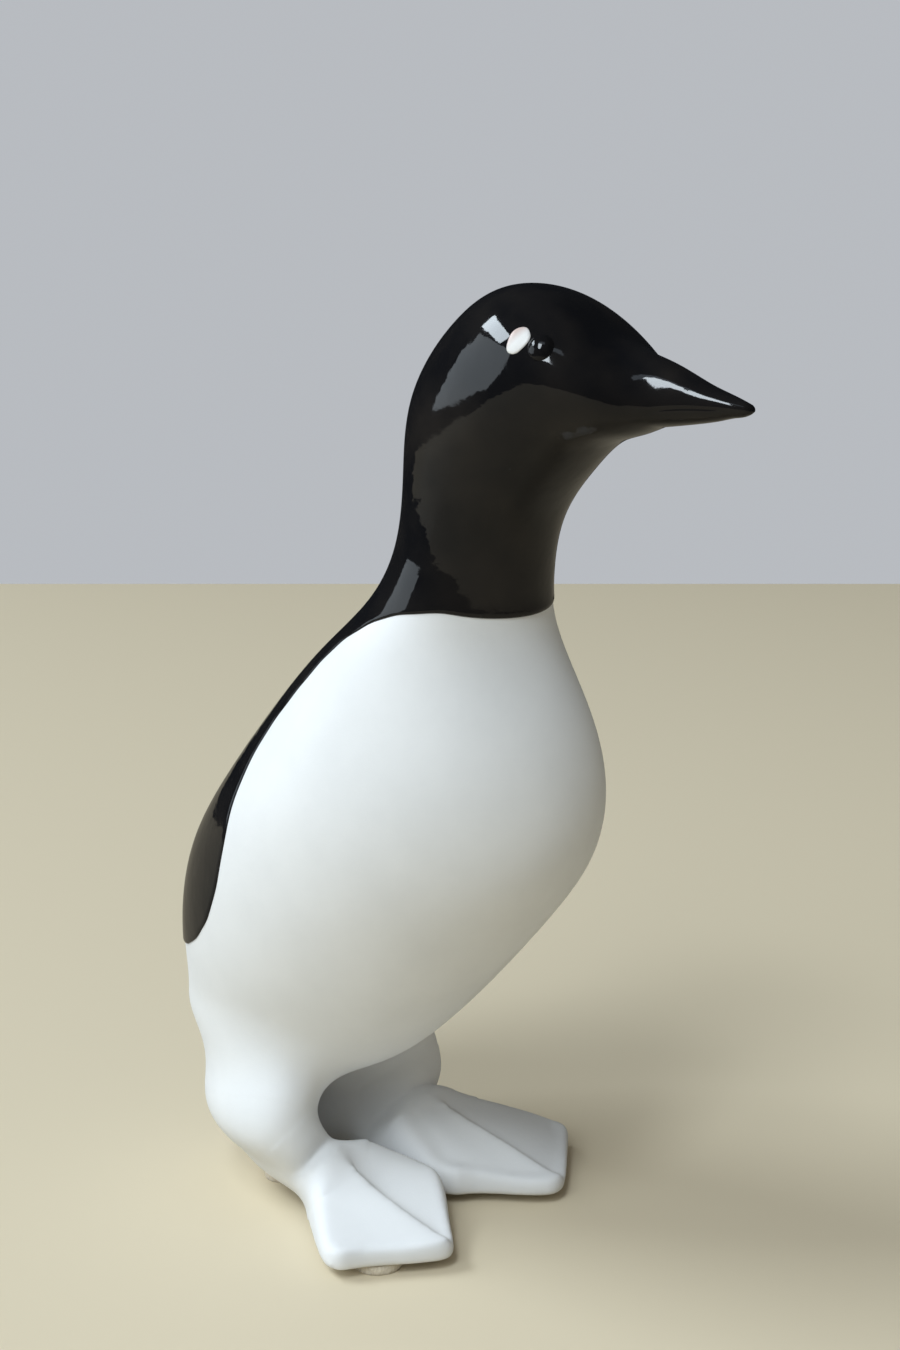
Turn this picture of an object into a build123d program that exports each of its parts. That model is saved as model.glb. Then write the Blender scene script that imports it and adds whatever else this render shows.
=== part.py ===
# Standing sea bird figurine: bisque castings, black glaze coat, enamel eyes and felt pads.
# Millimetres. The bird faces -Y, its left side is +X and its pads stand on z = 0.
import os
from math import cos, pi, sin

from build123d import *

# Whole figure
standing_height = 149.7     # table to the crown of the head casting
neck_height = 101.5         # table to the joint between the two castings
belly_clearance = 16.0      # table to the lowest point of the belly
body_depth = 76.0           # back of the tail to the front of the breast
body_width = 52.0           # across the widest part of the body
head_length = 62.0          # nape to the tip of the beak
head_width = 30.4           # across the cheeks

# Castings
casting_wall = 3.5
spigot_length = 6.0         # tongue of the head casting that sits inside the neck of the body
spigot_wall = 3.0
spigot_clearance = 0.4
collar_height = 5.0         # solid ring that carries the spigot
vent_diameter = 4.0         # firing vent under the belly

# Coats and eyes
glaze_thickness = 0.3
enamel_thickness = 0.25
eye_diameter = 4.2
eye_stand = 0.9             # how far the eye bead stands out of the glaze
patch_width = 3.9
patch_height = 4.8
patch_tilt = 20.0           # degrees, top leaning to the beak

# Legs
leg_length = 32.0           # long way across a leg, along its outer toe
leg_width = 16.0
leg_turn = 30.0             # degrees that a leg turns out
leg_spread = 25.4           # between the middles of the two legs
leg_setback = 20.8          # back of the tail to the middle of a leg
leg_sink = 12.0             # how far a leg runs up past the lowest point of the belly
slip_film = 0.1             # layer of fired slip that holds a leg to the belly

# Feet
foot_gap = 0.6              # between the two feet
instep_radius = 6.8         # ball where the toes start
instep_height = 8.5         # middle of that ball above the sole
instep_advance = 6.7        # middle of a leg to the ball
instep_spread = 22.0        # between the two balls
outer_toe_length = 29.2
outer_toe_radius = 2.7
outer_toe_turn = 37.3       # degrees outwards
middle_toe_length = 33.7
middle_toe_radius = 2.7
middle_toe_turn = 8.5
inner_toe_length = 21.8
inner_toe_radius = 3.4
inner_toe_turn = -18.5
web_margin = 1.5            # skin past the line between two toe ends
web_root_height = 11.0      # top of the web at the instep, above the sole
web_edge_height = 3.3       # top of the web at its front edge, above the sole

# Pads
pad_thickness = 1.5
toe_pad_diameter = 8.0
toe_pad_setback = 3.2       # behind the line between the outer and middle toe ends
heel_pad_diameter = 7.0

cut_overrun = 5.0           # every cutter runs this far past what it cuts

# Rings of the bird from the belly up to the beak. Each is an oval that spans a back point and a
# front point of the side view: back reach, back height, front reach, front height, half width.
# Body rings: reach from the tail in body_depth, height from belly to neck joint, width in body_width.
body_ring_shares = [
    (0.100, 0.095, 0.300, 0.005, 0.175),
    (0.020, 0.135, 0.460, 0.065, 0.290),
    (0.003, 0.202, 0.607, 0.151, 0.367),
    (0.007, 0.298, 0.751, 0.280, 0.433),
    (0.020, 0.407, 0.880, 0.415, 0.480),
    (0.070, 0.524, 0.975, 0.542, 0.500),
    (0.168, 0.653, 1.000, 0.680, 0.490),
    (0.290, 0.790, 0.955, 0.826, 0.433),
    (0.418, 0.909, 0.884, 0.966, 0.357),
]
# Head rings: reach from the nape in head_length, height from neck joint to crown, width in head_width.
head_ring_shares = [
    (0.010, 0.006, 0.435, 0.120, 0.500),
    (0.088, 0.196, 0.465, 0.303, 0.452),
    (0.108, 0.425, 0.549, 0.447, 0.468),
    (0.136, 0.676, 0.639, 0.542, 0.500),
    (0.258, 0.907, 0.726, 0.581, 0.484),
    (0.395, 1.000, 0.772, 0.604, 0.436),
    (0.530, 0.962, 0.795, 0.610, 0.340),
    (0.661, 0.857, 0.843, 0.617, 0.205),
    (0.783, 0.784, 0.920, 0.632, 0.124),
    (0.885, 0.732, 0.962, 0.645, 0.084),
    (0.955, 0.702, 0.987, 0.654, 0.054),
    (0.990, 0.685, 1.000, 0.665, 0.030),
]
nape_share = 0.530          # of body_depth, from the tail
cavity_body_rings = slice(2, None)
cavity_head_rings = slice(0, 5)
neck_body_rings = slice(6, None)
neck_head_rings = slice(0, 3)
ring_points = 12
rings_per_span = 2          # drawn rings for each step of the tables above

# Lower edge of the black coat in side view, breast to tail: reach in body_depth, height as above.
coat_edge_shares = [
    (0.880, 0.997),
    (0.787, 1.014),
    (0.688, 1.004),
    (0.562, 0.948),
    (0.455, 0.853),
    (0.365, 0.744),
    (0.325, 0.620),
    (0.305, 0.500),
    (0.255, 0.395),
    (0.155, 0.317),
    (-0.020, 0.270),
]

# Places on the head: reach from the nape in head_length, height from neck joint to crown.
eye_shares = (0.578, 0.825)
patch_shares = (0.522, 0.842)
vent_reach_share = 0.45     # of body_depth, from the tail

# Leg rings from sole to top: height in the leg's rise, then shares of its length, width and spread.
leg_ring_shares = [
    (0.00, 0.62, 0.45, 0.42),
    (0.13, 0.82, 0.70, 0.58),
    (0.27, 0.93, 0.90, 0.76),
    (0.42, 0.98, 1.00, 0.92),
    (0.60, 0.98, 1.02, 0.95),
    (0.80, 0.94, 1.00, 0.84),
    (1.00, 0.84, 0.92, 0.70),
]
toe_start_share = 0.96      # radius of a toe inside the instep ball
toe_waist_share = 0.45      # along a toe, where its waist is
toe_taper_share = 0.30      # part of the whole taper that is left at the waist

coat_length = nape_share * body_depth + head_length + 2 * glaze_thickness
tail_y = coat_length / 2 - glaze_thickness
nape_y = tail_y - nape_share * body_depth
body_rise = neck_height - belly_clearance
head_rise = standing_height - neck_height
sole_height = pad_thickness


def body_point(reach_share, height_share):
    """Point of the side view, placed on the body."""
    return Vector(0, tail_y - reach_share * body_depth, belly_clearance + height_share * body_rise)


def head_point(reach_share, height_share):
    """Point of the side view, placed on the head."""
    return Vector(0, nape_y - reach_share * head_length, neck_height + height_share * head_rise)


def placed_rings(ring_shares, place, width):
    """Back point, front point and half width of each ring."""
    return [
        (place(back, back_height), place(front, front_height), half_share * width)
        for back, back_height, front, front_height, half_share in ring_shares
    ]


def eased(column, knots, index, share):
    """Value between two knots of a column, with slopes taken from the neighbours."""
    last = len(knots) - 1

    def slope(at):
        before, after = max(at - 1, 0), min(at + 1, last)
        return (column[after] - column[before]) * (1 / (knots[after] - knots[before]))

    span = knots[index + 1] - knots[index]
    start, end = column[index], column[index + 1]
    straight = start + (end - start) * (share * share * (3 - 2 * share))
    leaving = slope(index) * (span * share * (1 - share) ** 2)
    arriving = slope(index + 1) * (span * share ** 2 * (1 - share))
    return straight + leaving - arriving


def smooth_rings(rings):
    """The rings with more drawn between them, on smooth lines through them all."""
    middles = [(back + front) / 2 for back, front, _ in rings]
    knots = [0.0]
    for start, end in zip(middles, middles[1:]):
        knots.append(knots[-1] + (end - start).length)
    columns = list(zip(*rings))
    drawn = []
    for index in range(len(rings) - 1):
        for step in range(rings_per_span):
            share = step / rings_per_span
            drawn.append(tuple(eased(column, knots, index, share) for column in columns))
    return drawn + [rings[-1]]


def outward_directions(edge, other_edge):
    """Directions square to one edge of the side view, pointing away from the other edge."""
    last = len(edge) - 1
    directions = []
    for index, point in enumerate(edge):
        along = edge[min(index + 1, last)] - edge[max(index - 1, 0)]
        square = Vector(0, -along.Z, along.Y).normalized()
        directions.append(square if square.dot(point - other_edge[index]) > 0 else -square)
    return directions


def grown_rings(rings, growth):
    """Rings moved out by growth all round, and past both ends of the bird."""
    backs, fronts, halves = zip(*rings)
    middles = [(back + front) / 2 for back, front in zip(backs, fronts)]
    ends = {0: middles[0] - middles[1], len(rings) - 1: middles[-1] - middles[-2]}
    moved = []
    for index, (back_out, front_out) in enumerate(
        zip(outward_directions(backs, fronts), outward_directions(fronts, backs))
    ):
        shift = ends[index].normalized() * growth if index in ends else Vector()
        back = backs[index] + back_out * growth + shift
        front = fronts[index] + front_out * growth + shift
        moved.append((back, front, halves[index] + growth))
    return moved


def ring_wire(back, front, half_width):
    """Closed oval through a back and a front point."""
    middle = (back + front) / 2
    arm = (back - front) / 2
    side = Vector(half_width, 0, 0)
    turns = [2 * pi * count / ring_points for count in range(ring_points)]
    points = [middle + arm * cos(turn) + side * sin(turn) for turn in turns]
    return Wire([Edge.make_spline(points, periodic=True)])


def form_through(rings, growth=0.0):
    """Smooth solid through the rings, grown outwards by growth."""
    return Solid.make_loft([ring_wire(*ring) for ring in grown_rings(smooth_rings(rings), growth)])


def slab(bottom, top):
    """Level slab between two heights, wider than the bird."""
    across = body_width + leg_length + cut_overrun
    along = body_depth + head_length + cut_overrun
    return Pos(0, 0, (bottom + top) / 2) * Box(2 * across, 2 * along, top - bottom)


def across_the_bird(profile):
    """Cutter with a side-view outline, through the whole width."""
    return extrude(profile, body_width + leg_length, dir=(1, 0, 0), both=True)


def mirrored(piece):
    """The same piece on the other side of the bird."""
    return mirror(piece, about=Plane.YZ)


def write(piece, name):
    """Name a finished piece and write it out."""
    piece.label = name
    export_step(piece, f"parts/{name}.step")


body_rings = placed_rings(body_ring_shares, body_point, body_width)
head_rings = placed_rings(head_ring_shares, head_point, head_width)
bird = form_through(body_rings + head_rings)
glazed_bird = form_through(body_rings + head_rings, glaze_thickness)
cavity = form_through(body_rings[cavity_body_rings] + head_rings[cavity_head_rings], -casting_wall)
below_joint = slab(-cut_overrun, neck_height)
above_joint = slab(neck_height, standing_height + cut_overrun)


def neck_lining(depth, top):
    """Level slice of the neck's inside, from the end of the spigot up to top, depth inside the skin."""
    neck_rings = body_rings[neck_body_rings] + head_rings[neck_head_rings]
    return form_through(neck_rings, -depth) & slab(neck_height - spigot_length, top)


def make_body_casting():
    """Hollow white body, open at the neck and vented under the belly."""
    vent_top = belly_clearance + body_rise / 2
    vent = Cylinder(vent_diameter / 2, vent_top, align=(Align.CENTER, Align.CENTER, Align.MIN))
    vent_y = body_point(vent_reach_share, 0).Y
    return (bird & below_joint) - cavity - Pos(0, vent_y, 0) * vent


def make_head_casting():
    """Hollow head with a solid beak, a solid collar and a spigot that enters the neck."""
    collar_top = neck_height + collar_height
    spigot_inset = casting_wall + spigot_clearance
    head = (bird & above_joint) - cavity
    head += bird & slab(neck_height, collar_top)
    head += neck_lining(spigot_inset, neck_height)
    return head - neck_lining(spigot_inset + spigot_wall, collar_top)


def make_black_glaze():
    """Coat over the head, the nape and the back, with its edge drawn in side view."""
    edge = Spline(*[body_point(*shares) for shares in coat_edge_shares])
    front_y = nape_y - head_length - cut_overrun
    back_y = tail_y + cut_overrun
    top_z = standing_height + cut_overrun
    corners = [(back_y, edge @ 1), (back_y, None), (front_y, None), (front_y, edge @ 0)]
    rim = [(0, y, top_z if end is None else end.Z) for y, end in corners]
    region = make_face(edge + Polyline(edge @ 1, *rim, edge @ 0))
    return (glazed_bird & across_the_bird(region)) - bird


def cheek_spot(shares):
    """Place and outward direction of a point on the glaze of the left cheek."""
    crossings = glazed_bird.find_intersection_points(Axis(head_point(*shares), (1, 0, 0)))
    place, square = max(crossings, key=lambda crossing: crossing[0].X)
    return place, square if square.X > 0 else -square


def make_eye_ball():
    """Ball of the left eye, partly sunk in the cheek, with its pole outwards."""
    place, outward = cheek_spot(eye_shares)
    middle = place + outward * (eye_stand - eye_diameter / 2)
    return Plane(middle, z_dir=outward).location * Sphere(eye_diameter / 2)


def make_eye_patch(eye_ball):
    """Thin white oval behind the left eye bead."""
    place, outward = cheek_spot(patch_shares)
    cheek = Plane(place, x_dir=outward.cross(Vector(0, 0, 1)), z_dir=outward)
    oval = cheek * Rot(0, 0, patch_tilt) * Ellipse(patch_width / 2, patch_height / 2)
    plug = extrude(oval, patch_width / 2, both=True)
    enamelled_bird = form_through(body_rings + head_rings, glaze_thickness + enamel_thickness)
    return (enamelled_bird & plug) - glazed_bird - eye_ball


leg_y = tail_y - leg_setback
instep = Vector(instep_spread / 2, leg_y - instep_advance, sole_height + instep_height)


def make_leg():
    """Oval column from the sole of the left foot up into the belly."""
    rise = belly_clearance + leg_sink - sole_height
    sections = []
    for height_share, length_share, width_share, spread_share in leg_ring_shares:
        place = Pos(spread_share * leg_spread / 2, leg_y, sole_height + height_share * rise)
        oval = Ellipse(length_share * leg_length / 2, width_share * leg_width / 2)
        sections.append(place * Rot(0, 0, leg_turn - 90) * oval)
    return loft(sections)


def toe_end(length, radius, turn):
    """Middle of a toe's round end."""
    ahead = Vector(0, -length, 0).rotate(Axis.Z, turn)
    return Vector(instep.X, instep.Y, sole_height + radius) + ahead


def make_toe(length, radius, turn):
    """Toe that narrows fast from the instep ball and ends round."""
    run = toe_end(length, radius, turn) - instep
    start = instep_radius * toe_start_share
    waist = radius + toe_taper_share * (start - radius)
    root = Polyline((0, run.length), (0, 0), (start, 0))
    side = ThreePointArc((start, 0), (waist, toe_waist_share * run.length), (radius, run.length))
    tip = CenterArc((0, run.length), radius, 0, 90)
    closing = Line((0, run.length + radius), (0, run.length))
    toe = revolve(Plane.XZ * make_face(root + side + tip + closing), Axis.Z)
    return Plane(instep, z_dir=run).location * toe


def make_web(toes):
    """Skin between the toes, sloping down to its front edge."""
    ends = [toe_end(*toe) for toe in toes]
    plan = make_face(Polyline(*[(end.X, end.Y) for end in ends], (instep.X, instep.Y), close=True))
    plan = offset(plan, web_margin)
    front_y = min(end.Y for end in ends) - web_margin
    back_y = instep.Y + web_margin
    slope = make_face(Polyline(
        (0, back_y, sole_height),
        (0, front_y, sole_height),
        (0, front_y, sole_height + web_edge_height),
        (0, back_y, sole_height + web_root_height),
        close=True,
    ))
    return extrude(Pos(0, 0, sole_height) * plan, web_root_height) & across_the_bird(slope)


toes = [
    (outer_toe_length, outer_toe_radius, outer_toe_turn),
    (middle_toe_length, middle_toe_radius, middle_toe_turn),
    (inner_toe_length, inner_toe_radius, inner_toe_turn),
]


def make_foot():
    """Left leg with its three toes and web, flat underneath."""
    foot = make_leg() + Pos(*instep) * Sphere(instep_radius) + make_web(toes)
    for toe in toes:
        foot += make_toe(*toe)
    foot -= slab(sole_height - leg_length, sole_height)
    right_half = Box(
        body_width + leg_length, 2 * body_depth, standing_height, align=(Align.MAX, Align.CENTER, Align.MIN)
    )
    return foot - Pos(foot_gap / 2, leg_y, 0) * right_half


def make_pad(diameter, x, y):
    """Round felt pad under a sole."""
    return Pos(x, y, sole_height / 2) * Cylinder(diameter / 2, pad_thickness)


def make_toe_pad():
    """Pad behind the front edge of the left outer web."""
    edge_middle = (toe_end(*toes[0]) + toe_end(*toes[1])) / 2
    back = Vector(instep.X - edge_middle.X, instep.Y - edge_middle.Y, 0).normalized()
    place = edge_middle + back * toe_pad_setback
    return make_pad(toe_pad_diameter, place.X, place.Y)


def make_heel_pad():
    """Pad under the left heel."""
    heel_share = leg_ring_shares[0][-1]
    return make_pad(heel_pad_diameter, heel_share * leg_spread / 2 + foot_gap, leg_y)


os.makedirs("parts", exist_ok=True)
write(make_body_casting(), "body_casting")
write(make_head_casting(), "head_casting")
write(make_black_glaze(), "black_glaze")
left_foot = make_foot()
slip_bed = form_through(body_rings + head_rings, slip_film)
write(left_foot - slip_bed, "left_foot")
write(mirrored(left_foot) - slip_bed, "right_foot")
eye_ball = make_eye_ball()
for name, piece in [
    ("eye", eye_ball - glazed_bird),
    ("eye_patch", make_eye_patch(eye_ball)),
    ("toe_pad", make_toe_pad()),
    ("heel_pad", make_heel_pad()),
]:
    write(piece, f"left_{name}")
    write(mirrored(piece), f"right_{name}")
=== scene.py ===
import math

import bmesh
import bpy
import numpy as np
from mathutils import Matrix, Vector
from mathutils.bvhtree import BVHTree


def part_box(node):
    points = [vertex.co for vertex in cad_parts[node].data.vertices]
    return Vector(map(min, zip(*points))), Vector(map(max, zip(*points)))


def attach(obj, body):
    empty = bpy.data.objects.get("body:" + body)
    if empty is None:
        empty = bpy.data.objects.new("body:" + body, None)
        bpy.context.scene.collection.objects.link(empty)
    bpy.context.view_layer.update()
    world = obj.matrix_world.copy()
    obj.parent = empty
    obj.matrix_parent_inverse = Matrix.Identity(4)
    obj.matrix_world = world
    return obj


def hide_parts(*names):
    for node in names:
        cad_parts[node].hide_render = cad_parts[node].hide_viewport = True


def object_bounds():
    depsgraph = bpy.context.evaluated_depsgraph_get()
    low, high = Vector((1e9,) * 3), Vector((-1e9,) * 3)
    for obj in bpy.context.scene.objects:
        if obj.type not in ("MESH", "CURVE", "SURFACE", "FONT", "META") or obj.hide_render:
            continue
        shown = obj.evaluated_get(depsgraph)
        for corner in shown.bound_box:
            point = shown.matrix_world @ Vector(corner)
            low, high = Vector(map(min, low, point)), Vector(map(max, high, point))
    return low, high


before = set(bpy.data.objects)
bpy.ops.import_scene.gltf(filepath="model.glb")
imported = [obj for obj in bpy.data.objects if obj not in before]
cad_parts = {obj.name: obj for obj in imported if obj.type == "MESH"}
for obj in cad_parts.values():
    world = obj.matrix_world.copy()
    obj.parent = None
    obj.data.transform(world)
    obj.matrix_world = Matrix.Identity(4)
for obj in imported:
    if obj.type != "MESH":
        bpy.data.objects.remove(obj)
cadLow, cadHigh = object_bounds()
bodyLow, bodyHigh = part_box("body_casting")
headLow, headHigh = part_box("head_casting")
print("frame loaded,", len(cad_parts), "nodes")

mm = 0.001  # every size below is in real millimetres


# bird form: one ring per row, from the belly up to the tip of the beak
# back reach, back height, front reach, front height, half width, fullness (2 is a plain oval)
birdForm = {
    "bodyRings": [  # reach from the tail, height from the belly, width: shares of the body casting
        (0.097, 0.091, 0.298, 0.000, 0.175, 2.0),
        (0.017, 0.131, 0.458, 0.060, 0.290, 2.0),
        (0.000, 0.198, 0.606, 0.147, 0.367, 2.0),
        (0.004, 0.295, 0.750, 0.276, 0.433, 2.0),
        (0.017, 0.404, 0.880, 0.412, 0.480, 2.0),
        (0.067, 0.522, 0.975, 0.540, 0.500, 2.05),
        (0.165, 0.651, 1.000, 0.678, 0.490, 2.05),
        (0.288, 0.789, 0.955, 0.825, 0.433, 2.0),
        (0.416, 0.909, 0.884, 0.966, 0.357, 2.0),
    ],
    "headRings": [  # reach from the nape, height from the neck joint, width: shares of the head casting
        (0.004, 0.006, 0.432, 0.120, 0.465, 2.0),
        (0.083, 0.196, 0.467, 0.303, 0.421, 2.0),
        (0.103, 0.425, 0.552, 0.447, 0.436, 2.0),
        (0.131, 0.676, 0.637, 0.542, 0.465, 2.0),
        (0.254, 0.910, 0.724, 0.581, 0.451, 2.0),
        (0.392, 1.002, 0.771, 0.604, 0.406, 2.05),
        (0.527, 0.973, 0.794, 0.610, 0.312, 2.1),
        (0.659, 0.851, 0.842, 0.618, 0.190, 2.25),
        (0.782, 0.788, 0.920, 0.634, 0.114, 2.3),
        (0.884, 0.729, 0.962, 0.646, 0.075, 2.2),
        (0.955, 0.696, 0.987, 0.652, 0.048, 2.0),
        (0.990, 0.678, 1.000, 0.660, 0.028, 2.0),
    ],
    "ringCount": 400,
    "ringPoints": 288,
}


def smoothThrough(knots, values, places):  # natural cubic spline, one column per value
    count = len(knots)
    gap = np.diff(knots)
    slope = np.diff(values, axis=0) / gap[:, None]
    matrix = np.eye(count)
    pull = np.zeros_like(values)
    for i in range(1, count - 1):
        matrix[i, i - 1:i + 2] = gap[i - 1], 2 * (gap[i - 1] + gap[i]), gap[i]
        pull[i] = 6 * (slope[i] - slope[i - 1])
    bend = np.linalg.solve(matrix, pull)
    at = np.clip(np.searchsorted(knots, places) - 1, 0, count - 2)
    before = ((knots[at + 1] - places) / gap[at])[:, None]
    after = 1 - before
    curved = (before ** 3 - before) * bend[at] + (after ** 3 - after) * bend[at + 1]
    return before * values[at] + after * values[at + 1] + curved * (gap[at] ** 2)[:, None] / 6


def placedRings(form):
    bodyDepth = bodyHigh.y - bodyLow.y
    bodyRise = bodyHigh.z - bodyLow.z
    headLength = headHigh.y - headLow.y
    headRise = headHigh.z - bodyHigh.z
    placed = []
    for back, backUp, front, frontUp, half, full in form["bodyRings"]:
        placed.append((
            bodyHigh.y - back * bodyDepth, bodyLow.z + backUp * bodyRise,
            bodyHigh.y - front * bodyDepth, bodyLow.z + frontUp * bodyRise,
            half * 2 * bodyHigh.x, full,
        ))
    for back, backUp, front, frontUp, half, full in form["headRings"]:
        placed.append((
            headHigh.y - back * headLength, bodyHigh.z + backUp * headRise,
            headHigh.y - front * headLength, bodyHigh.z + frontUp * headRise,
            half * 2 * headHigh.x, full,
        ))
    return np.array(placed)


def drawRings(form):  # grid of points, rings by points round each ring
    rings = placedRings(form)
    middles = (rings[:, 0:2] + rings[:, 2:4]) / 2
    knots = np.concatenate([[0], np.cumsum(np.linalg.norm(np.diff(middles, axis=0), axis=1))])
    drawn = smoothThrough(knots, rings, np.linspace(0, knots[-1], form["ringCount"]))
    turn = np.linspace(0, 2 * math.pi, form["ringPoints"], endpoint=False)
    power = 2 / drawn[:, 5:6]
    ahead = np.sign(np.cos(turn)) * np.abs(np.cos(turn)) ** power
    aside = np.sign(np.sin(turn)) * np.abs(np.sin(turn)) ** power
    middle = (drawn[:, None, 0:2] + drawn[:, None, 2:4]) / 2
    arm = (drawn[:, None, 2:4] - drawn[:, None, 0:2]) / 2
    side = drawn[:, 4:5] * aside
    line = middle + arm * ahead[:, :, None]
    return np.concatenate([side[..., None], line], axis=2)


def gridFaces(rows, columns):  # quads of a grid that closes round its columns
    row, column = np.meshgrid(np.arange(rows - 1), np.arange(columns), indexing="ij")
    following = (column + 1) % columns
    quads = [row * columns + column, row * columns + following,
             (row + 1) * columns + following, (row + 1) * columns + column]
    return np.stack(quads, axis=-1).reshape(-1, 4).tolist()


def closedTube(grid):  # rings joined into a closed skin with a point at each end
    rows, columns = grid.shape[:2]
    points = np.concatenate([grid.reshape(-1, 3), grid[:1].mean(axis=1), grid[-1:].mean(axis=1)])
    faces = gridFaces(rows, columns)
    first, last = rows * columns, rows * columns + 1
    for column in range(columns):
        following = (column + 1) % columns
        faces.append([first, following, column])
        faces.append([last, first - columns + column, first - columns + following])
    return points, faces


def meshFrom(name, points, faces):
    mesh = bpy.data.meshes.new(name)
    mesh.from_pydata(points.tolist() if hasattr(points, "tolist") else points, [], faces)
    mesh.validate()
    build = bmesh.new()
    build.from_mesh(mesh)
    bmesh.ops.recalc_face_normals(build, faces=build.faces)
    build.to_mesh(mesh)
    build.free()
    return mesh


def addPiece(name, mesh, material, nodes):
    piece = bpy.data.objects.new(name, mesh)
    bpy.context.scene.collection.objects.link(piece)
    mesh.materials.clear()
    mesh.materials.append(material)
    mesh.polygons.foreach_set("use_smooth", [True] * len(mesh.polygons))
    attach(piece, "root")
    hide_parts(*nodes)
    print("piece", name, len(mesh.polygons), "faces")
    return piece


def treeOf(points, faces):  # search tree over closed skins whose faces look outwards
    build = bmesh.new()
    build.from_mesh(meshFrom("searched", points, faces))
    found = BVHTree.FromBMesh(build)
    build.free()
    return found


birdGrid = drawRings(birdForm)
birdPoints, birdFaces = closedTube(birdGrid)
birdTree = treeOf(birdPoints, birdFaces)
print("bird form drawn,", len(birdFaces), "faces")


# materials
def startMaterial(name):
    material = bpy.data.materials.new(name)
    material.use_nodes = True
    tree = material.node_tree
    return material, tree, tree.nodes["Principled BSDF"]


def addNode(tree, kind, **settings):
    node = tree.nodes.new(kind)
    for key, value in settings.items():
        if key in node.inputs:
            node.inputs[key].default_value = value
        else:
            setattr(node, key, value)
    return node


def objectPlace(tree):
    return addNode(tree, "ShaderNodeTexCoord").outputs["Object"]


def addNoise(tree, place, scale, detail=3.0, roughness=0.5):
    node = addNode(tree, "ShaderNodeTexNoise", Scale=scale, Detail=detail, Roughness=roughness)
    tree.links.new(place, node.inputs["Vector"])
    return node.outputs["Fac"]


def addRange(tree, value, low, high, newLow, newHigh):
    node = addNode(tree, "ShaderNodeMapRange")
    node.inputs["From Min"].default_value = low
    node.inputs["From Max"].default_value = high
    node.inputs["To Min"].default_value = newLow
    node.inputs["To Max"].default_value = newHigh
    tree.links.new(value, node.inputs["Value"])
    return node.outputs["Result"]


def addMix(tree, share, first, second):  # colour mix, each side a colour or a socket
    node = addNode(tree, "ShaderNodeMix", data_type="RGBA")
    tree.links.new(share, node.inputs["Factor"])
    for name, value in (("A", first), ("B", second)):
        socket = next(s for s in node.inputs if s.name == name and s.type == "RGBA")
        if isinstance(value, tuple):
            socket.default_value = value
        else:
            tree.links.new(value, socket)
    return next(s for s in node.outputs if s.type == "RGBA")


def addBump(tree, heights):  # list of (height socket, strength, distance), laid on each other
    normal = None
    for height, strength, distance in heights:
        node = addNode(tree, "ShaderNodeBump", Strength=strength, Distance=distance)
        tree.links.new(height, node.inputs["Height"])
        if normal is not None:
            tree.links.new(normal, node.inputs["Normal"])
        normal = node.outputs["Normal"]
    return normal


def addSpecks(tree, place, scale, rarity, size):  # 1 inside a few scattered specks
    cells = addNode(tree, "ShaderNodeTexVoronoi", Scale=scale, Randomness=1.0)
    tree.links.new(place, cells.inputs["Vector"])
    near = addRange(tree, cells.outputs["Distance"], size * 0.6, size, 1.0, 0.0)
    split = addNode(tree, "ShaderNodeSeparateColor")
    tree.links.new(cells.outputs["Color"], split.inputs["Color"])
    chosen = addNode(tree, "ShaderNodeMath", operation="GREATER_THAN")
    tree.links.new(split.outputs["Red"], chosen.inputs[0])
    chosen.inputs[1].default_value = rarity
    both = addNode(tree, "ShaderNodeMath", operation="MULTIPLY")
    tree.links.new(near, both.inputs[0])
    tree.links.new(chosen.outputs["Value"], both.inputs[1])
    return both.outputs["Value"]


bisqueLook = {
    "pale": (0.80, 0.81, 0.82, 1),
    "chalk": (0.75, 0.76, 0.77, 1),
    "speck": (0.30, 0.27, 0.23, 1),
}


def bisqueMaterial(look):
    material, tree, skin = startMaterial("bisque")
    place = objectPlace(tree)
    cloud = addRange(tree, addNoise(tree, place, 55, 4, 0.55), 0.35, 0.7, 0.0, 1.0)
    clay = addMix(tree, cloud, look["pale"], look["chalk"])
    specks = addSpecks(tree, place, 95, 0.93, 0.030)
    tree.links.new(addMix(tree, specks, clay, look["speck"]), skin.inputs["Base Color"])
    grain = addNoise(tree, place, 5200, 2, 0.6)
    tooth = addNoise(tree, place, 900, 3, 0.55)
    tree.links.new(addRange(tree, tooth, 0.3, 0.7, 0.58, 0.72), skin.inputs["Roughness"])
    tree.links.new(addBump(tree, [(tooth, 0.10, 0.0002), (grain, 0.22, 0.00006)]), skin.inputs["Normal"])
    skin.inputs["Specular IOR Level"].default_value = 0.35
    return material


glazeLook = {
    "deep": (0.006, 0.006, 0.007, 1),
    # second tone of the glaze: where the coat is thinner
    "secondTone": (0.016, 0.014, 0.013, 1),
}


def glazeMaterial(look):
    material, tree, skin = startMaterial("blackGlaze")
    place = objectPlace(tree)
    cloud = addRange(tree, addNoise(tree, place, 90, 3, 0.5), 0.4, 0.75, 0.0, 1.0)
    tree.links.new(addMix(tree, cloud, look["deep"], look["secondTone"]), skin.inputs["Base Color"])
    wave = addNoise(tree, place, 210, 2, 0.45)
    peel = addNoise(tree, place, 900, 2, 0.5)
    pits = addSpecks(tree, place, 260, 0.93, 0.05)
    heights = [(wave, 0.20, 0.0006), (peel, 0.10, 0.00012), (pits, 0.5, 0.0001)]
    tree.links.new(addBump(tree, heights), skin.inputs["Normal"])
    tree.links.new(addRange(tree, cloud, 0, 1, 0.05, 0.10), skin.inputs["Roughness"])
    skin.inputs["IOR"].default_value = 1.5
    return material


beadLook = {"colour": (0.005, 0.005, 0.006, 1)}


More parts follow.
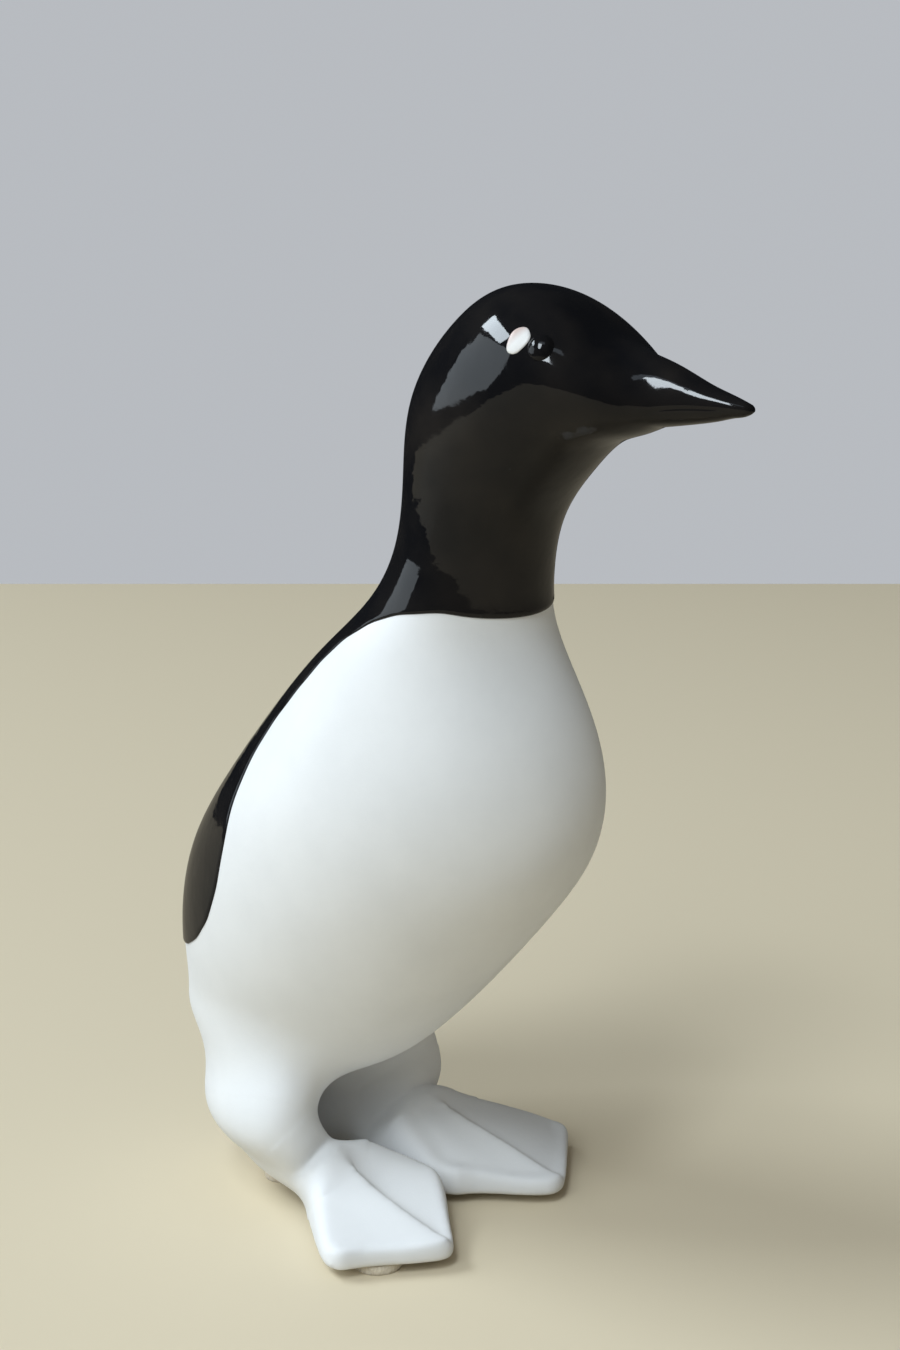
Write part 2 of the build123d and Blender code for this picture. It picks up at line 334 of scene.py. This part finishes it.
def beadMaterial(look):
    material, tree, skin = startMaterial("eyeBead")
    place = objectPlace(tree)
    shift = addNoise(tree, place, 1500, 2, 0.5)
    tree.links.new(addMix(tree, shift, look["colour"], (0.010, 0.009, 0.009, 1)), skin.inputs["Base Color"])
    tree.links.new(addBump(tree, [(shift, 0.04, 0.00005)]), skin.inputs["Normal"])
    skin.inputs["Roughness"].default_value = 0.08
    skin.inputs["Specular IOR Level"].default_value = 0.4
    return material


enamelLook = {"cream": (0.76, 0.75, 0.74, 1), "blush": (0.60, 0.47, 0.43, 1)}


def enamelMaterial(look):
    material, tree, skin = startMaterial("eyeEnamel")
    place = objectPlace(tree)
    spread = addNode(tree, "ShaderNodeSeparateXYZ")  # darker, pinker tone towards the upper back
    tree.links.new(addNode(tree, "ShaderNodeTexCoord").outputs["Generated"], spread.inputs[0])
    corner = addNode(tree, "ShaderNodeMath", operation="ADD")
    tree.links.new(spread.outputs["Y"], corner.inputs[0])
    tree.links.new(spread.outputs["Z"], corner.inputs[1])
    secondTone = addRange(tree, corner.outputs["Value"], 1.05, 1.55, 0.0, 1.0)
    tree.links.new(addMix(tree, secondTone, look["cream"], look["blush"]), skin.inputs["Base Color"])
    brush = addNoise(tree, place, 1600, 3, 0.6)
    tree.links.new(addBump(tree, [(brush, 0.25, 0.0001)]), skin.inputs["Normal"])
    tree.links.new(addRange(tree, brush, 0.3, 0.7, 0.28, 0.42), skin.inputs["Roughness"])
    return material


feltLook = {"pale": (0.80, 0.73, 0.60, 1), "dark": (0.62, 0.54, 0.42, 1)}


def feltMaterial(look):
    material, tree, skin = startMaterial("felt")
    place = objectPlace(tree)
    fibre = addNoise(tree, place, 2600, 5, 0.7)
    tree.links.new(addMix(tree, addRange(tree, fibre, 0.35, 0.7, 0, 1), look["pale"], look["dark"]),
                   skin.inputs["Base Color"])
    tree.links.new(addBump(tree, [(fibre, 0.7, 0.0004)]), skin.inputs["Normal"])
    skin.inputs["Roughness"].default_value = 0.95
    skin.inputs["Sheen Weight"].default_value = 0.35
    return material


bisque = bisqueMaterial(bisqueLook)
glaze = glazeMaterial(glazeLook)
bead = beadMaterial(beadLook)
enamel = enamelMaterial(enamelLook)
felt = feltMaterial(feltLook)
print("materials made")


# legs and feet, drawn as for the left side of the bird
footForm = {
    "legMiddle": (12.7, 30.3),  # across and along, at the thick of the leg
    "legLength": 32.0,
    "legWidth": 16.0,
    "legTurn": 30.0,
    "legRings": [  # height, length share, width share, spread share
        (1.5, 0.62, 0.45, 0.42),
        (5.0, 0.80, 0.64, 0.54),
        (8.6, 0.91, 0.84, 0.71),
        (12.6, 0.98, 0.99, 0.90),
        (17.4, 0.98, 1.02, 0.95),
        (22.7, 0.94, 1.00, 0.84),
        (28.0, 0.84, 0.92, 0.70),
        (36.0, 0.55, 0.60, 0.55),
    ],
    "legPoints": 48,
    "root": (11.0, 25.0),  # where the three toe ridges start, inside the leg
    "creaseDepth": 1.9,
    "creaseStep": 0.12,  # share of the web on the steep side of its crease
    "hollow": 0.35,  # dip of the other web
    "roundShare": 0.45,
    "roundPower": 2.4,
    "rimHeight": 1.1,  # where the foot is widest, above the sole
    "soleHeight": 1.5,
    "heelHeight": 4.5,  # the sheet of the foot thins out under the leg
    "middleGap": 0.35,
}
footPlans = {  # tips outer, middle, inner; the hand-made feet differ a little
    "left": {
        "tips": [(29.6, -0.8), (13.4, -10.8), (4.0, 3.0)],
        "outline": [
            (5.0, 27.0), (1.4, 14.0), (0.3, 4.0), (1.5, -0.4), (4.2, -2.0), (9.6, -11.8), (12.6, -13.9),
            (16.4, -12.4), (28.4, -5.0), (31.4, -3.2), (31.8, 0.6), (25.4, 8.0), (18.0, 16.6), (13.2, 23.0),
            (12.0, 28.0),
        ],
        "crest": [(0.0, 16.0), (0.3, 13.2), (0.6, 10.0), (0.85, 6.9), (1.0, 4.9)],  # share of a toe, height
        "innerLift": 1.5,  # how much higher the inner toe ends
        "crease": "outer",
    },
    "right": {
        "tips": [(27.0, 1.6), (15.6, -9.0), (3.4, 3.4)],
        "outline": [
            (5.0, 27.0), (1.4, 14.0), (0.3, 5.0), (0.8, 0.8), (3.6, -2.2), (8.8, -6.6), (12.8, -10.4), (15.8, -12.4),
            (19.2, -10.3), (26.6, -2.4), (29.6, -0.8), (29.8, 2.4), (23.8, 9.4), (17.2, 16.4), (13.2, 22.4),
            (12.0, 28.0),
        ],
        "crest": [(0.0, 16.5), (0.3, 12.2), (0.6, 8.4), (1.0, 5.2)],
        "innerLift": 3.2,
        "crease": "inner",
    },
}


def legTube(form):
    turn = np.linspace(0, 2 * math.pi, form["legPoints"], endpoint=False)
    lean = math.radians(form["legTurn"] - 90)
    across, along = form["legMiddle"]
    table = np.array(form["legRings"])
    heights = np.linspace(table[0, 0], table[-1, 0], 60)
    rows = smoothThrough(table[:, 0], table[:, 1:], heights)
    rings = []
    for height, (lengthShare, widthShare, spreadShare) in zip(heights, rows):
        long = lengthShare * form["legLength"] / 2 * np.cos(turn)
        wide = widthShare * form["legWidth"] / 2 * np.sin(turn)
        x = spreadShare * across + long * math.cos(lean) - wide * math.sin(lean)
        y = along + long * math.sin(lean) + wide * math.cos(lean)
        rings.append(np.stack([x, y, np.full_like(x, height)], axis=1))
    return np.array(rings)


def easeBetween(value, low, high):
    share = np.clip((value - low) / (high - low), 0, 1)
    return share * share * (3 - 2 * share)


def cornersCut(outline, rounds):
    points = np.array(outline)
    for _ in range(rounds):
        following = np.roll(points, -1, axis=0)
        points = np.stack([0.75 * points + 0.25 * following, 0.25 * points + 0.75 * following], axis=1)
        points = points.reshape(-1, 2)
    return points


def ridgeHeight(form, plan, points):  # top of toes and webs before the edge is rounded
    reach = points - np.array(form["root"])
    tips = np.array(plan["tips"]) - np.array(form["root"])
    angle = np.arctan2(reach[:, 0], -reach[:, 1])
    tipAngle = np.arctan2(tips[:, 0], -tips[:, 1])
    full = np.interp(angle, tipAngle[::-1], np.linalg.norm(tips, axis=1)[::-1])
    share = np.clip(np.linalg.norm(reach, axis=1) / full, 0, 1)
    table = np.array(plan["crest"])
    height = smoothThrough(table[:, 0], table[:, 1:], share)[:, 0]
    grow = easeBetween(share, 0.2, 0.65)
    for side, toe in (("outer", 0), ("inner", 2)):
        across = (angle - tipAngle[1]) / (tipAngle[toe] - tipAngle[1])  # 0 on the middle ridge, 1 on the toe
        across = np.clip(across, 0, 1)
        if side == plan["crease"]:
            height -= form["creaseDepth"] * grow * easeBetween(across, 0, form["creaseStep"]) * (1 - across)
        else:
            height -= form["hollow"] * grow * np.sin(math.pi * across)
    height += plan["innerLift"] * share * easeBetween(across, 0.1, 1)  # across now runs to the inner toe
    heel = easeBetween(points[:, 1], 13, 21)
    return height * (1 - heel) + form["heelHeight"] * heel


def slabParts(form, plan):  # webbed foot: outline shrunk in rings, each point lifted to the ridges
    outline = cornersCut(plan["outline"], 4)
    middle = outline.mean(axis=0)
    shrink = 1 - np.linspace(0, 1, 40, endpoint=False) ** 2
    flat = middle + (outline - middle)[None] * shrink[:, None, None]
    points = flat.reshape(-1, 2)
    step = np.roll(outline, -1, axis=0) - outline
    inside = np.full(len(points), 1e9)
    for corner, run in zip(outline, step):
        off = points - corner
        share = np.clip(off @ run / (run @ run), 0, 1)
        inside = np.minimum(inside, np.linalg.norm(off - share[:, None] * run, axis=1))
    rim = form["soleHeight"] + form["rimHeight"]
    rise = ridgeHeight(form, plan, points) - rim
    share = np.clip(inside / (form["roundShare"] * rise), 0, 1)
    power = form["roundPower"]
    top = rim + rise * (1 - (1 - share) ** power) ** (1 / power)
    rings = np.concatenate([points, top[:, None]], axis=1).reshape(*flat.shape[:2], 3)
    under = rings[[8, 5, 3, 1]].copy()  # sole, curled up a little at its edge
    under[:, :, 2] = np.array([0, 0.06, 0.25, 0.65])[:, None] * form["rimHeight"] + form["soleHeight"] - 0.05
    return closedTube(np.concatenate([under, rings]))


def footParts(form, plans):  # legs and webbed feet, both sides
    points, faces = closedTube(legTube(form))
    legs = [(points * mm * [sign, 1, 1], faces) for sign in (1, -1)]
    slabs = []
    for side, sign in (("left", 1), ("right", -1)):
        points, faces = slabParts(form, plans[side])
        slabs.append((points * mm * [sign, 1, 1], faces))
    return legs, slabs


def joined(parts):
    points, faces, start = [], [], 0
    for somePoints, someFaces in parts:
        points.append(somePoints)
        faces += [[start + i for i in face] for face in someFaces]
        start += len(somePoints)
    return np.concatenate(points), faces


# the white body: form, legs and feet grown together, then cut where the legs leave the belly
bodyBuild = {
    "voxel": 0.45,
    "softRounds": 8,
    "legFillet": 7.0,  # reach of the soft run from leg to belly
    "footFillet": 8.0,
    "filletRounds": 8,
    "filletEase": 10,
    "settleRounds": 90,  # last easing of the joints between leg, foot and belly
    "snapStart": 10.0,
    "snapFull": 13.0,
    "seamHeight": 15.0,
    "topHeight": 108.0,  # hidden under the black coat
}


def remeshed(points, faces, voxel):
    source = bpy.data.objects.new("growing", meshFrom("growing", points, faces))
    bpy.context.scene.collection.objects.link(source)
    change = source.modifiers.new("grow", "REMESH")
    change.mode = "VOXEL"
    change.voxel_size = voxel
    change.adaptivity = 0
    done = bpy.data.meshes.new_from_object(source.evaluated_get(bpy.context.evaluated_depsgraph_get()))
    bpy.data.objects.remove(source)
    return done


def pointsOf(mesh):
    flat = np.zeros(len(mesh.vertices) * 3)
    mesh.vertices.foreach_get("co", flat)
    return flat.reshape(-1, 3)


def edgesOf(mesh):
    flat = np.zeros(len(mesh.edges) * 2, dtype=np.int32)
    mesh.edges.foreach_get("vertices", flat)
    return flat.reshape(-1, 2)


def relaxed(points, edges, weight, rounds):  # each point drifts to the middle of its neighbours
    count = len(points)
    first, second = edges.T
    valence = np.bincount(edges.ravel(), minlength=count)[:, None]
    for _ in range(rounds):
        total = np.zeros_like(points)
        for axis in range(3):
            total[:, axis] = np.bincount(first, points[second, axis], count)
            total[:, axis] += np.bincount(second, points[first, axis], count)
        points = points + (total / valence - points) * weight[:, None] * 0.5
    return points


def gapsTo(tree, points):  # distances that are minus inside, outward directions, nearest places
    found = [tree.find_nearest(p) for p in points]
    places = np.array([f[0] for f in found])
    outward = np.array([f[1] for f in found])
    off = points - places
    size = np.linalg.norm(off, axis=1)
    return np.where((off * outward).sum(axis=1) < 0, -size, size), outward, places


def softMinimum(first, second, reach):  # two skins run softly into each other
    share = np.clip(1 - np.abs(first[0] - second[0]) / reach, 0, None)
    lean = np.where(first[0] < second[0], 1 - share / 2, share / 2)[:, None]
    gap = np.minimum(first[0], second[0]) - share ** 2 * reach / 4
    return gap, first[1] * lean + second[1] * (1 - lean)


def growBody(build):
    legs, slabs = (joined(parts) for parts in footParts(footForm, footPlans))
    legTree, slabTree = treeOf(*legs), treeOf(*slabs)
    mesh = remeshed(*joined([(birdPoints, birdFaces), legs, slabs]), build["voxel"] * mm)
    points, edges = pointsOf(mesh), edgesOf(mesh)
    points = relaxed(points, edges, np.ones(len(points)), 4)
    birdGap, _, onBird = gapsTo(birdTree, points)
    legGap, slabGap = gapsTo(legTree, points)[0], gapsTo(slabTree, points)[0]
    legReach, footReach = build["legFillet"] * mm, build["footFillet"] * mm
    free = 1 - easeBetween(np.minimum(legGap, slabGap), build["snapStart"] * mm, build["snapFull"] * mm)
    points = relaxed(points, edges, free, build["softRounds"])
    crease = np.minimum(np.maximum(birdGap, legGap) / legReach, np.maximum(legGap, slabGap) / footReach)
    active = np.nonzero(crease < 1)[0]
    loose = 1 - easeBetween(crease, 0.2, 1)
    for _ in range(build["filletRounds"]):
        some = points[active]
        low = easeBetween(some[:, 2], 1.5 * mm, 6 * mm)  # the foot keeps its outline near the sole
        soft = softMinimum(gapsTo(birdTree, some), gapsTo(legTree, some), legReach)
        gap, outward = softMinimum(soft, gapsTo(slabTree, some), footReach * low + mm)
        step = np.clip(gap, -mm, mm) * 0.8 / (outward ** 2).sum(axis=1).clip(0.3)
        points[active] -= outward * step[:, None]
        points = relaxed(points, edges, loose, build["filletEase"])
    points = relaxed(points, edges, loose, build["settleRounds"])
    points = points * free[:, None] + onBird * (1 - free[:, None])
    points[:, 2] = np.maximum(points[:, 2], footForm["soleHeight"] * mm)
    mesh.vertices.foreach_set("co", points.ravel())
    mesh.update()
    return mesh


def cutPiece(mesh, name, planes):  # keeps what lies on the plus side of every plane, closed with flat ends
    build = bmesh.new()
    build.from_mesh(mesh)
    for place, direction in planes:
        everything = build.verts[:] + build.edges[:] + build.faces[:]
        bmesh.ops.bisect_plane(build, geom=everything, plane_co=place, plane_no=direction, clear_inner=True)
        rim = [edge for edge in build.edges if edge.is_boundary]
        bmesh.ops.holes_fill(build, edges=rim, sides=0)
        for edge in rim:
            edge.smooth = False
    bmesh.ops.recalc_face_normals(build, faces=build.faces)
    made = bpy.data.meshes.new(name)
    build.to_mesh(made)
    build.free()
    return made


grown = growBody(bodyBuild)
print("body grown,", len(grown.polygons), "faces")
seam = Vector((0, 0, bodyBuild["seamHeight"] * mm))
neckSeam = Vector((0, 0, bodyBuild["topHeight"] * mm))
bodyMesh = cutPiece(grown, "body", [(seam, Vector((0, 0, 1))), (neckSeam, Vector((0, 0, -1)))])
addPiece("body", bodyMesh, bisque, ["body_casting"])
for side, sign in (("left", 1), ("right", -1)):
    gap = Vector((sign * footForm["middleGap"] * mm, 0, 0))
    footMesh = cutPiece(grown, side + "Foot", [(seam, Vector((0, 0, -1))), (gap, Vector((sign, 0, 0)))])
    addPiece(side + "Foot", footMesh, bisque, [side + "_foot"])
headStart = int(np.argmax(birdGrid[:, :, 2].min(axis=1) > bodyBuild["topHeight"] * mm))
addPiece("head", meshFrom("head", *closedTube(birdGrid[headStart:])), bisque, ["head_casting"])


# black coat: a thin skin over head, nape and back, with a rounded painted edge
coatForm = {
    "edge": [  # side view, breast to tail: reach and height as shares of the body casting
        (1.150, 0.985),
        (0.940, 0.990),
        (0.880, 0.997),
        (0.787, 1.014),
        (0.688, 1.004),
        (0.562, 0.948),
        (0.455, 0.853),
        (0.365, 0.744),
        (0.325, 0.620),
        (0.305, 0.500),
        (0.255, 0.395),
        (0.155, 0.317),
        (-0.020, 0.270),
        (-0.150, 0.245),
    ],
    "thickness": 0.30,
    "sink": 0.10,
    "rimLevels": [0.0, 0.06, 0.16, 0.32, 0.60],
    "waver": 0.10,  # unsteady hand along the edge
    "mouth": [(-36.4, 132.3), (-38.6, 133.2), (-41.0, 133.6), (-45.0, 133.7), (-51.0, 133.5)],  # along, up
    "mouthDepth": 0.11,
    "mouthWidth": 0.18,
}


def sideLine(shares, steps):
    places = np.array([
        (bodyHigh.y - reach * (bodyHigh.y - bodyLow.y), bodyLow.z + up * (bodyHigh.z - bodyLow.z))
        for reach, up in shares
    ])
    knots = np.concatenate([[0], np.cumsum(np.linalg.norm(np.diff(places, axis=0), axis=1))])
    return smoothThrough(knots, places, np.linspace(0, knots[-1], steps))


def sideGap(points, line):  # signed distance to a side-view line, plus above it
    start, step = line[:-1], np.diff(line, axis=0)
    gaps = np.empty(len(points))
    for begin in range(0, len(points), 4000):
        some = points[begin:begin + 4000, None, 1:3] - start[None]
        share = np.clip((some * step).sum(-1) / (step ** 2).sum(-1), 0, 1)
        off = some - share[..., None] * step
        size = np.linalg.norm(off, axis=-1)
        best = size.argmin(axis=1)
        rows = np.arange(len(best))
        turned = step[best, 0] * some[rows, best, 1] - step[best, 1] * some[rows, best, 0]
        gaps[begin:begin + 4000] = size[rows, best] * np.sign(turned)
    return gaps


def splitAtLevel(build, layer, level):
    cut = []
    for edge in build.edges[:]:
        first, second = edge.verts
        low, high = first[layer] - level, second[layer] - level
        if low * high < 0:
            share = low / (low - high)
            _, vert = bmesh.utils.edge_split(edge, first, share)
            vert[layer] = level
            cut.append(vert)
        else:
            cut += [vert for vert in (first, second) if vert[layer] == level]
    bmesh.ops.connect_verts(build, verts=list(set(cut)))


def coatShell(form):
    points, faces = birdPoints, birdFaces
    gaps = sideGap(points, sideLine(form["edge"], 500)) / mm
    gaps += form["waver"] * np.sin(points[:, 1] / mm * 0.9) * np.sin(points[:, 2] / mm * 0.55 + 1.0)
    build = bmesh.new()
    layer = build.verts.layers.float.new("gap")
    verts = [build.verts.new(p) for p in points]
    for vert, gap in zip(verts, gaps):
        vert[layer] = gap
    for face in faces:
        if max(gaps[i] for i in face) > -2:
            build.faces.new([verts[i] for i in face])
    bmesh.ops.delete(build, geom=[v for v in build.verts if not v.link_faces], context="VERTS")
    bmesh.ops.recalc_face_normals(build, faces=build.faces)
    for level in form["rimLevels"]:
        splitAtLevel(build, layer, level)
    build.normal_update()
    outside = [f for f in build.faces if sum(v[layer] for v in f.verts) / len(f.verts) < 0]
    normals = {v: v.normal.copy() for v in build.verts}
    bmesh.ops.delete(build, geom=outside, context="FACES")
    build.verts.index_update()
    kept = build.verts[:]
    base = np.array([v.co for v in kept])
    square = np.array([normals[v] for v in kept])
    gap = np.array([v[layer] for v in kept])
    share = np.clip(gap / form["rimLevels"][-1], 0, 1)
    lift = form["thickness"] * np.sqrt(1 - (1 - share) ** 2)
    lift -= mouthGroove(form, base)
    outer = base + square * lift[:, None] * mm
    inner = base - square * form["sink"] * mm
    count = len(kept)
    shell = [[v.index for v in f.verts] for f in build.faces]
    shell += [[count + v.index for v in reversed(f.verts)] for f in build.faces]
    for edge in build.edges:
        if edge.is_boundary:
            first, second = (v.index for v in edge.verts)
            shell.append([first, second, count + second, count + first])
    build.free()
    return meshFrom("blackCoat", np.concatenate([outer, inner]), shell)


def mouthGroove(form, points):  # shallow line between the two halves of the beak
    line = np.array(form["mouth"]) * mm
    ahead = -points[:, 1]
    up = smoothThrough(-line[:, 0], line[:, 1:], np.clip(ahead, -line[0, 0], -line[-1, 0]))[:, 0]
    off = (points[:, 2] - up) / mm / form["mouthWidth"]
    fade = easeBetween(ahead, -line[0, 0], -line[1, 0]) * (1 - easeBetween(ahead, -line[-2, 0], -line[-1, 0]))
    return form["mouthDepth"] * np.exp(-off ** 2) * fade


coat = addPiece("blackCoat", coatShell(coatForm), glaze, ["black_glaze"])
coatTree = treeOf(pointsOf(coat.data), [list(p.vertices) for p in coat.data.polygons])


# eyes: a painted oval with a black bead in front of it
eyeForm = {
    "beadProfile": [  # out from the middle, height off the glaze
        (0.00, 0.72), (0.55, 0.69), (1.05, 0.57), (1.45, 0.36), (1.75, 0.12), (1.95, -0.08), (2.05, -0.25),
    ],
    "beadTurns": 64,
    "patchHalf": (1.55, 2.25),
    "patchTilt": 20.0,
    "rise": 0.8,  # how far both sit above the modelled spot, as the finished head shows them
    "patchThick": 0.22,
    "patchRings": 14,
    "patchTurns": 72,
}


def surfaceSpot(node, sign):  # place on the coat, and outward direction, beside a node's box
    low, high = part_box(node)
    middle = (low + high) / 2 + Vector((0, 0, eyeForm["rise"] * mm))
    place, square, _, _ = coatTree.ray_cast(middle + Vector((sign * 0.02, 0, 0)), Vector((-sign, 0, 0)))
    return place, square if square.x * sign > 0 else -square


def spotAxes(square):  # sideways and upwards along the surface
    ahead = Vector((0, 0, 1)).cross(square).normalized()
    return ahead, square.cross(ahead).normalized()


def beadMesh(form, place, square, name):
    ahead, upward = spotAxes(square)
    profile = np.array(form["beadProfile"])
    knots = np.concatenate([[0], np.cumsum(np.linalg.norm(np.diff(profile, axis=0), axis=1))])
    drawn = smoothThrough(knots, profile, np.linspace(0, knots[-1], 40))[1:]
    turn = np.linspace(0, 2 * math.pi, form["beadTurns"], endpoint=False)
    rings = []
    for out, up in drawn:
        flat = np.outer(np.cos(turn), ahead) * out * 0.92 + np.outer(np.sin(turn), upward) * out * 1.06
        rings.append(np.array(place) + (flat + np.array(square) * up) * mm)
    return meshFrom(name, *closedTube(np.array(rings)))


def patchMesh(form, place, square, sign, name):
    ahead, upward = spotAxes(square)
    tilt = math.radians(form["patchTilt"]) * sign
    points = []
    for ring in range(form["patchRings"] + 1):
        share = ring / form["patchRings"]
        for step in range(form["patchTurns"]):
            turn = 2 * math.pi * step / form["patchTurns"]
            wobble = 1 + 0.035 * math.sin(3 * turn + 0.6) + 0.02 * math.sin(5 * turn)
            x = form["patchHalf"][0] * share * wobble * math.cos(turn)
            y = form["patchHalf"][1] * share * wobble * math.sin(turn)
            flat = ahead * (x * math.cos(tilt) - y * math.sin(tilt))
            flat += upward * (x * math.sin(tilt) + y * math.cos(tilt))
            start = place + flat * mm + square * 0.01
            hit, normal, _, _ = coatTree.ray_cast(start, -square)
            lift = form["patchThick"] * math.sqrt(max(0.0, 1 - share ** 6)) - 0.04
            points.append(hit + square * lift * mm)
    rows = np.array(points).reshape(form["patchRings"] + 1, form["patchTurns"], 3)
    under = rows[-1:] - np.array(square) * 0.25 * mm
    return meshFrom(name, *closedTube(np.concatenate([rows[1:], under])))


for side, sign in (("left", 1), ("right", -1)):
    spot = surfaceSpot(side + "_eye_patch", sign)
    patch = patchMesh(eyeForm, *spot, sign, side + "EyePatch")
    addPiece(side + "EyePatch", patch, enamel, [side + "_eye_patch"])
    spot = surfaceSpot(side + "_eye", sign)
    addPiece(side + "Eye", beadMesh(eyeForm, *spot, side + "Eye"), bead, [side + "_eye"])


# felt pads under the soles
padForm = {
    "rings": [  # radius share, height share
        (0.30, 1.00), (0.70, 1.00), (0.93, 0.99), (0.985, 0.90), (1.00, 0.70), (1.00, 0.35), (0.985, 0.10),
        (0.95, 0.00), (0.60, 0.00), (0.25, 0.00),
    ],
    "turns": 72,
    "fuzz": 0.05,
}


def padMesh(form, node, seed):
    low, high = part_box(node)
    middle, radius = (low + high) / 2, (high.x - low.x) / 2
    chance = np.random.default_rng(seed)
    turn = np.linspace(0, 2 * math.pi, form["turns"], endpoint=False)
    rings = []
    for out, up in form["rings"]:
        fuzz = chance.normal(0, form["fuzz"] * mm * out, form["turns"])
        reach = radius * out * 0.985 + fuzz
        height = np.full(form["turns"], low.z + up * (high.z - low.z))
        rings.append(np.stack([middle.x + reach * np.cos(turn), middle.y + reach * np.sin(turn), height], axis=1))
    return meshFrom(node, *closedTube(np.array(rings)))


for seed, (side, spotName) in enumerate((s, t) for s in ("left", "right") for t in ("toe", "heel")):
    node = f"{side}_{spotName}_pad"
    pad = addPiece(side + spotName.capitalize() + "Pad", padMesh(padForm, node, seed), felt, [node])


# stage, light and camera
cameraForm = {"place": (-252.1, -183.4, 157.0), "look": (0.809, 0.588), "pitch": 12.11, "lens": 54.67}
stageLook = {
    "floor": (0.70, 0.61, 0.45, 1),
    # painted shade: the floor seen in the glaze's reflections is given this darker colour
    "floorMirrored": (0.28, 0.235, 0.17, 1),
    "floorReach": (0.80, 0.62, 1.1),  # metres towards the camera, behind the bird, to each side
    "backdrop": (0.48, 0.50, 0.53, 1),
    "ambient": (1.0, 0.97, 0.90, 1),
    "ambientStrength": 0.18,
    "mirrored": (0.009, 0.010, 0.012, 1),  # the dim room that the glaze reflects
}


def makeStage(look):
    front, behind, side = look["floorReach"]
    ahead = Vector((*cameraForm["look"], 0)).normalized()
    aside = Vector((ahead.y, -ahead.x, 0))
    corners = [-ahead * front - aside * side, -ahead * front + aside * side,
               ahead * behind + aside * side, ahead * behind - aside * side]
    mesh = bpy.data.meshes.new("floor")
    mesh.from_pydata([tuple(corner) for corner in corners], [], [(0, 1, 2, 3)])
    floor = bpy.data.objects.new("floor", mesh)
    bpy.context.scene.collection.objects.link(floor)
    material, tree, skin = startMaterial("floor")
    path = addNode(tree, "ShaderNodeLightPath")
    # painted shade: darker floor colour for glossy rays, so its reflection in the glaze is dim
    seen = addMix(tree, path.outputs["Is Glossy Ray"], look["floor"], look["floorMirrored"])
    tree.links.new(seen, skin.inputs["Base Color"])
    skin.inputs["Roughness"].default_value = 0.6
    skin.inputs["Specular IOR Level"].default_value = 0.2
    mesh.materials.append(material)


def makeWorld(look):
    world = bpy.data.worlds.new("studio")
    bpy.context.scene.world = world
    world.use_nodes = True
    tree = world.node_tree
    shade = tree.nodes["Background"]
    shade.inputs["Color"].default_value = look["ambient"]
    shade.inputs["Strength"].default_value = look["ambientStrength"]
    path = addNode(tree, "ShaderNodeLightPath")
    last = shade.outputs[0]
    for ray, colour in (("Is Glossy Ray", look["mirrored"]), ("Is Camera Ray", look["backdrop"])):
        seen = addNode(tree, "ShaderNodeBackground", Color=colour, Strength=1.0)
        mix = addNode(tree, "ShaderNodeMixShader")
        tree.links.new(path.outputs[ray], mix.inputs[0])
        tree.links.new(last, mix.inputs[1])
        tree.links.new(seen.outputs[0], mix.inputs[2])
        last = mix.outputs[0]
    tree.links.new(last, tree.nodes["World Output"].inputs["Surface"])


lights = {  # azimuth and elevation seen from the bird, metres away, width, height, watts, colour
    "windowSky": (-152, 47, 2.25, 1.15, 0.60, 27.5, (0.82, 0.92, 1.0)),
    "windowLow": (-140, 21, 2.25, 1.75, 1.25, 11.0, (0.82, 0.92, 1.0)),
    "windowFront": (-77, 55, 2.25, 0.40, 0.80, 15.0, (0.84, 0.93, 1.0)),
    "ceiling": (-62, 68, 2.25, 0.90, 0.30, 0.8, (0.75, 0.87, 1.0)),
    "fill": (-84, 38, 2.25, 1.30, 1.20, 17.0, (0.84, 0.93, 1.0)),
}


def makeLight(name, azimuth, elevation, away, width, height, watts, colour):
    data = bpy.data.lights.new(name, "AREA")
    data.shape = "RECTANGLE"
    data.size, data.size_y = width, height
    data.energy = watts
    data.color = colour
    lamp = bpy.data.objects.new(name, data)
    bpy.context.scene.collection.objects.link(lamp)
    turn, rise = math.radians(azimuth), math.radians(elevation)
    out = Vector((math.sin(turn) * math.cos(rise), -math.cos(turn) * math.cos(rise), math.sin(rise)))
    lamp.location = (cadLow + cadHigh) / 2 + out * away
    lamp.rotation_mode = "QUATERNION"
    lamp.rotation_quaternion = out.to_track_quat("Z", "Y")
    lamp.visible_glossy = name != "fill"  # broad fill that leaves no patch on the glaze


def makeCamera(form):
    data = bpy.data.cameras.new("camera")
    data.lens = form["lens"]
    data.sensor_width = 36
    camera = bpy.data.objects.new("camera", data)
    bpy.context.scene.collection.objects.link(camera)
    camera.location = Vector(form["place"]) * mm
    fall = math.radians(form["pitch"])
    ahead = Vector((*form["look"], 0)).normalized() * math.cos(fall) - Vector((0, 0, math.sin(fall)))
    camera.rotation_mode = "QUATERNION"
    camera.rotation_quaternion = ahead.to_track_quat("-Z", "Y")
    data.clip_start, data.clip_end = 0.01, 50
    bpy.context.scene.camera = camera


makeStage(stageLook)
makeWorld(stageLook)
for lampName, values in lights.items():
    makeLight(lampName, *values)
makeCamera(cameraForm)
bpy.context.scene.view_settings.view_transform = "Standard"
print("stage, lights and camera set")
